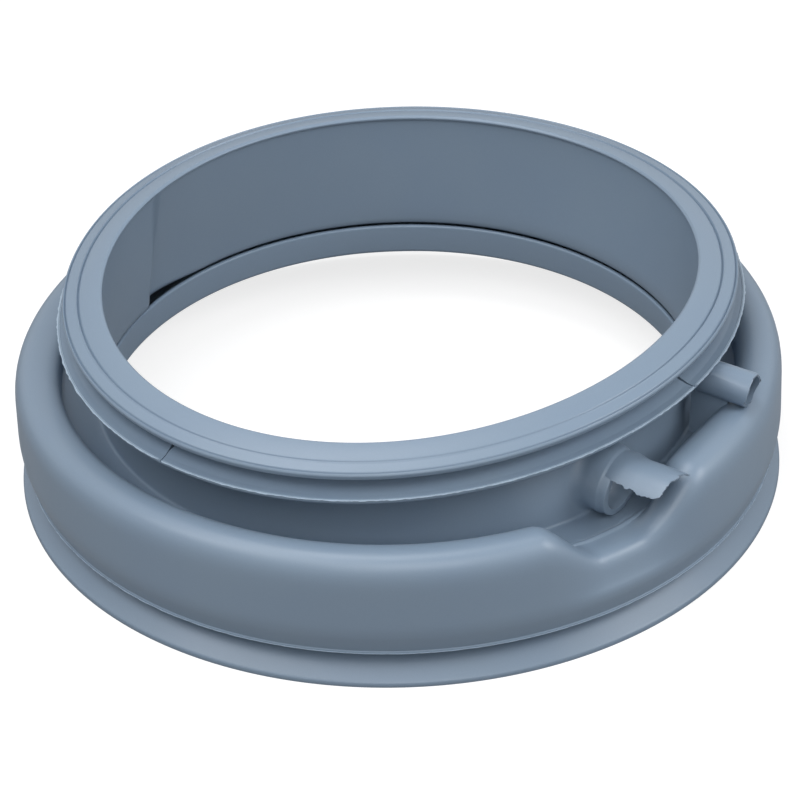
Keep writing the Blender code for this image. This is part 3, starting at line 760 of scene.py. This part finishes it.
def web_mesh():
    """Upright web under the upper port, set into the trough and the roll.

    It stands a little off the inner wall and leans out of line toward its foot.
    """
    corners = bellows_centre(ROLL_TOP, SWELL_IN / 2, False)
    line = [point for point, _ in rounded(corners, corners[0], WEB_STEPS)][1:11]
    along = UPPER_PORT_END[0] * cos(UPPER_PORT_TURN) + UPPER_PORT_END[1] * sin(UPPER_PORT_TURN)
    across = UPPER_PORT_END[1] * cos(UPPER_PORT_TURN) - UPPER_PORT_END[0] * sin(UPPER_PORT_TURN)
    near = INNER_RADIUS + WALL + WEB_GAP
    line = [(near, line[0][1])] + [(r, z) for r, z in line if r > near]
    outline = [(sqrt(r ** 2 - across ** 2) - along, z - UPPER_PORT_END[2]) for r, z in line]
    outline += [(outline[-1][0], 0.0), (outline[0][0], 0.0)]
    mesh = bmesh.new()
    depth = min(z for _, z in outline)
    sides = [[mesh.verts.new((x, y - WEB_LEAN * z / depth, z)) for x, z in outline]
             for y in (-WEB_WALL / 2, WEB_WALL / 2)]
    return skinned(mesh, sides)


def add_ports(body):
    """Join the two ports, the flap and the web to the ring, and open the ports' bores."""
    frame_low = port_frame(LOWER_PORT_END, LOWER_PORT_TURN, LOWER_PORT_FALL)
    root = -port_reach(LOWER_PORT_END, LOWER_PORT_TURN)
    collar = LOWER_PORT_RADIUS + COLLAR_STEP
    edge = COLLAR_STEP
    profile = root_profile(collar, root, [(-COLLAR_SETBACK - edge, collar),
                                          (-COLLAR_SETBACK, collar - edge / 3),
                                          (-COLLAR_SETBACK + edge, LOWER_PORT_RADIUS),
                                          (-edge, LOWER_PORT_RADIUS),
                                          (-edge / 3, LOWER_PORT_RADIUS - edge / 4),
                                          (0.0, LOWER_PORT_RADIUS - edge)])
    mesh = turned(profile)
    onto_wall(mesh, frame_low, root)
    cut_or_join(body, as_object("lower_port", mesh, frame_low), "UNION")
    cut_or_join(body, as_object("flap", flap_mesh(), frame_low), "UNION")
    bore = LOWER_PORT_RADIUS - LOWER_PORT_WALL
    mesh = turned([(root - bore - 6 * WALL, bore), (-edge, bore), (WALL, bore + edge)])
    cut_or_join(body, as_object("lower_bore", mesh, frame_low), "DIFFERENCE")
    frame_up = port_frame(UPPER_PORT_END, UPPER_PORT_TURN, UPPER_PORT_FALL)
    root = -port_reach(UPPER_PORT_END, UPPER_PORT_TURN)
    end_profile = [(-UPPER_PORT_EDGE, UPPER_PORT_RADIUS),
                   (0.0, UPPER_PORT_RADIUS - UPPER_PORT_EDGE)]
    profile = root_profile(UPPER_PORT_RADIUS, root, end_profile)
    mesh = turned(profile, UPPER_PORT_TEAR, UPPER_PORT_SLANT)
    onto_wall(mesh, frame_up, root)
    web_frame = port_frame(UPPER_PORT_END, UPPER_PORT_TURN, 0.0)
    cut_or_join(body, as_object("web", web_mesh(), web_frame), "UNION")
    cut_or_join(body, as_object("upper_port", mesh, frame_up), "UNION")
    bore = UPPER_PORT_RADIUS - UPPER_PORT_WALL
    mesh = turned([(root - bore - 6 * WALL, bore), (WALL, bore)])
    cut_or_join(body, as_object("upper_bore", mesh, frame_up), "DIFFERENCE")


def add_tears(body):
    """Cut the tears down through the cabinet flange from the groove."""
    low = CABINET_FLANGE_TOP - CABINET_FLANGE_EDGE - CABINET_FLANGE_WALL
    high = groove_floor_low() + CABINET_GROOVE_WIDTH / 2
    for number, outline in enumerate(TEARS):
        mesh = bmesh.new()
        around = [(r * cos(radians(turn)), r * sin(radians(turn))) for r, turn in outline]
        rings = [[mesh.verts.new((x, y, z)) for x, y in around] for z in (low, high)]
        cut_or_join(body, as_object("tear_%d" % number, skinned(mesh, rings)), "DIFFERENCE")


# ---- Materials

def cleared(owner):
    """Empty node tree of a material or a world."""
    owner.use_nodes = True
    owner.node_tree.nodes.clear()
    return owner.node_tree


def rubber_material(name, tones):
    """Moulded EPDM rubber, filled and blue grey: a satin skin with soft, broad gloss."""
    # Noises by scale per metre, detail and roughness, then the ranges that they are mapped to
    clouds, grains = (28.0, 3.0, 0.5), (1400.0, 2.0, 0.6)
    speckle_range, rough_range = (0.35, 0.65, 0.985, 1.015), (0.3, 0.7, 0.36, 0.42)
    grain_strength, grain_depth, rubber_ior = 0.12, 0.0002, 1.50
    material = bpy.data.materials.new(name)
    tree = cleared(material)
    place = tree.nodes.new("ShaderNodeTexCoord").outputs["Object"]
    cloud = put(tree, "ShaderNodeTexNoise", place, *clouds)
    grain = put(tree, "ShaderNodeTexNoise", place, *grains)
    tone = put(tree, "ShaderNodeMix", cloud, *[linear(tone) for tone in tones], data_type="RGBA")
    speckle = put(tree, MAP_RANGE, grain, *speckle_range)
    tone = put(tree, VECTOR_MATH, tone, speckle, operation="MULTIPLY")
    rough = put(tree, MAP_RANGE, cloud, *rough_range)
    bump = put(tree, "ShaderNodeBump", grain_strength, grain_depth, None, grain)
    shader = tree.nodes.new("ShaderNodeBsdfPrincipled")
    tree.links.new(tone, shader.inputs["Base Color"])
    tree.links.new(rough, shader.inputs["Roughness"])
    tree.links.new(bump, shader.inputs["Normal"])
    shader.inputs["IOR"].default_value = rubber_ior
    put(tree, "ShaderNodeOutputMaterial", shader.outputs["BSDF"])
    return material


def floor_material():
    """White paper sweep: mostly its own white to the camera, with the light and shade on it."""
    material = bpy.data.materials.new("white studio floor")
    tree = cleared(material)
    seen = tree.nodes.new("ShaderNodeLightPath").outputs["Is Camera Ray"]
    strength = put(tree, MATH, seen, FLOOR_GLOW, operation="MULTIPLY")
    paint = put(tree, "ShaderNodeBsdfDiffuse", (FLOOR_PAINT, FLOOR_PAINT, FLOOR_PAINT, 1.0))
    glow = put(tree, "ShaderNodeEmission", (1.0, 1.0, 1.0, 1.0), strength)
    put(tree, "ShaderNodeOutputMaterial", put(tree, "ShaderNodeAddShader", paint, glow))
    return material


# ---- Seal

def stations():
    """Angles round the ring at which its section stands."""
    angles = []
    for start, end, step in STATION_ZONES:
        count = round((end - start) / step)
        angles += [radians(start + (end - start) * i / count) for i in range(count)]
    return angles


def bent_piece(name, plain, rubber):
    """Bend a true piece to the lying rubber's shape, and remove the true one."""
    sizes = dict(BEND)
    sizes["Rubber"] = rubber
    piece = grown(name, plain.data, bend_tree(sizes), sizes)
    bpy.data.objects.remove(plain)
    return piece


def seal_piece(rubber):
    """The whole moulding: ring, ports, flap, web and tears, bent as it lies."""
    outlines = {"High roll": section(ROLL_TOP, 0.0, False),
                "Sagged roll": section(ROLL_TOP - ROLL_SAG, 0.0, False),
                "Swollen roll": section(ROLL_TOP + SWELL_UP, SWELL_IN, False),
                "Recess": section(ROLL_TOP, 0.0, True)}
    round_ring = stations()
    guides = {"Stations round": guide("Stations round", [(turn, 0, 0) for turn in round_ring])}
    for label, outline in outlines.items():
        guides[label] = guide(label, [(r, 0, z) for r, z in outline])
    sizes = dict(guides)
    sizes.update({"Stations": len(round_ring), "Points across": len(outlines["High roll"]),
                  "Sag at": ROLL_SAG_AT, "Sag half width": ROLL_SAG_HALF_WIDTH, "Sag share": 1.0,
                  "Saddle at": SADDLE_AT, "Saddle half width": SADDLE_HALF_WIDTH,
                  "Saddle share": SADDLE_DEPTH / ROLL_SAG,
                  "Swell at": SWELL_AT, "Swell half width": SWELL_HALF_WIDTH, "Swell share": 1.0,
                  "Recess from": RECESS_FROM, "Recess down": RECESS_DOWN,
                  "Recess up": RECESS_UP, "Recess to": RECESS_TO, "Rubber": rubber})
    ring = grown("ring", bpy.data.meshes.new("ring"), ring_tree(sizes), sizes)
    for item in guides.values():
        bpy.data.objects.remove(item)
    mesh = bmesh.new()
    mesh.from_mesh(ring.data)
    bmesh.ops.recalc_face_normals(mesh, faces=mesh.faces)
    mesh.to_mesh(ring.data)
    mesh.free()
    add_ports(ring)
    add_tears(ring)
    seal = bent_piece("door_seal_rubber", ring, rubber)
    seal.data.shade_smooth()
    seal.data.set_sharp_from_angle(angle=SHARP_FROM)
    return seal


def flash_piece(rubber):
    """Thin ragged fin that the mould's parting line has left round two edges."""
    steps = 1800
    # Two noises by scale per metre, how they change the fin's width, and its break at a tear
    coarse, fine, fine_share = 260, 700, 0.6
    least, middle, swing = 0.3, 0.7, 0.6
    tear_half_width = 0.006
    mesh = bmesh.new()
    stops = [radians(sum(turn for _, turn in outline[1:5]) / 4) for outline in TEARS]
    edges = ((CABINET_FLANGE_RADIUS, CABINET_FLANGE_TOP + FLASH / 2, 2.0),
             (OUTER_FOOT_RADIUS, outer_foot_height() + WALL / 4 + OUTER_FOOT_EDGE / 2, 1.2))
    for radius, height, width in edges:
        rings = []
        for i in range(steps):
            turn = 2 * pi * i / steps - pi
            spot = Vector((radius * cos(turn), radius * sin(turn), height))
            ragged = noise.noise(spot * coarse) + fine_share * noise.noise(spot * fine)
            reach = FLASH * max(least, width * (middle + swing * ragged))
            ring = [mesh.verts.new((r * cos(turn), r * sin(turn), z)) for r, z in
                    ((radius - 2 * FLASH, height), (radius + reach, height + FLASH / 4),
                     (radius + reach, height - FLASH / 4), (radius - 2 * FLASH, height - FLASH))]
            rings.append((turn, ring))
        for (turn, here), (_, there) in zip(rings, rings[1:] + rings[:1]):
            torn = any(abs(turn - stop) < tear_half_width for stop in stops)
            if not (torn and radius == CABINET_FLANGE_RADIUS):
                join_rings(mesh, here, there)
    bmesh.ops.recalc_face_normals(mesh, faces=mesh.faces)
    return bent_piece("moulding_flash", as_object("flash", mesh), rubber)


def camera():
    """The photograph's camera, from the round edges of the ring that it shows."""
    distance, aside, above = 2.4, 0.0005, 0.0293
    right = Vector((1, 0, 0))
    forward = Vector((0, cos(PHOTO_FALL), -sin(PHOTO_FALL)))
    up = Vector((0, sin(PHOTO_FALL), cos(PHOTO_FALL)))
    place = -forward * distance + right * aside + up * above
    across = right * cos(PHOTO_ROLL) + up * sin(PHOTO_ROLL)
    upward = -right * sin(PHOTO_ROLL) + up * cos(PHOTO_ROLL)
    turn = Matrix((across, upward, -forward)).transposed().to_4x4()
    lens = bpy.data.cameras.new("camera")
    lens.sensor_width = 36
    lens.lens = PHOTO_FOCUS * lens.sensor_width / PHOTO_WIDTH
    item = placed("camera", lens)
    item.matrix_world = Matrix.Rotation(PHOTO_TURN, 4, "Z") @ Matrix.Translation(place) @ turn
    bpy.context.scene.camera = item


def soft_box(name, azimuth, height, distance, size, power):
    """Square area lamp that looks at the seal's middle."""
    lamp = bpy.data.lights.new(name, "AREA")
    lamp.shape = "SQUARE"
    lamp.size = size
    lamp.energy = power
    away = Vector((cos(height) * cos(azimuth), cos(height) * sin(azimuth), sin(height)))
    placed(name, lamp).matrix_world = (Matrix.Translation(LAMPS_LOOK_AT + away * distance)
                                       @ away.to_track_quat("Z", "Y").to_matrix().to_4x4())


def studio():
    """Even white surroundings, four soft boxes and a white floor."""
    scene = bpy.context.scene
    scene.view_settings.view_transform = "Standard"
    scene.world = bpy.data.worlds.new("studio")
    tree = cleared(scene.world)
    path = tree.nodes.new("ShaderNodeLightPath")
    seen = put(tree, MATH, path.outputs["Is Camera Ray"], path.outputs["Is Glossy Ray"],
               operation="MAXIMUM")
    seen = put(tree, MATH, seen, path.outputs["Is Transmission Ray"], operation="MAXIMUM")
    strength = put(tree, "ShaderNodeMix", seen, FILL_LIGHT, SEEN_WHITE, data_type="FLOAT")
    light = put(tree, "ShaderNodeBackground", (1.0, 1.0, 1.0, 1.0), strength)
    put(tree, "ShaderNodeOutputWorld", light)
    for name, turn, height, distance, size, power in LAMPS:
        soft_box(name, PHOTO_AZIMUTH + radians(turn), radians(height), distance, size, power)
    mesh = bmesh.new()
    bmesh.ops.create_grid(mesh, x_segments=1, y_segments=1, size=FLOOR_HALF_WIDTH)
    floor = as_object("studio_floor", mesh)
    floor.data.materials.append(floor_material())


seal = seal_piece(rubber_material("moulded blue grey EPDM rubber", RUBBER_TONES))
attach(seal, "root")
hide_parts("door_seal")
# The flash's paler tones are a painted highlight along the thin fin's edge, not a colour of its own
flash = flash_piece(rubber_material("moulding flash, painted highlight", PAINTED_HIGHLIGHT_FLASH_TONES))
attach(flash, "root")
camera()
studio()
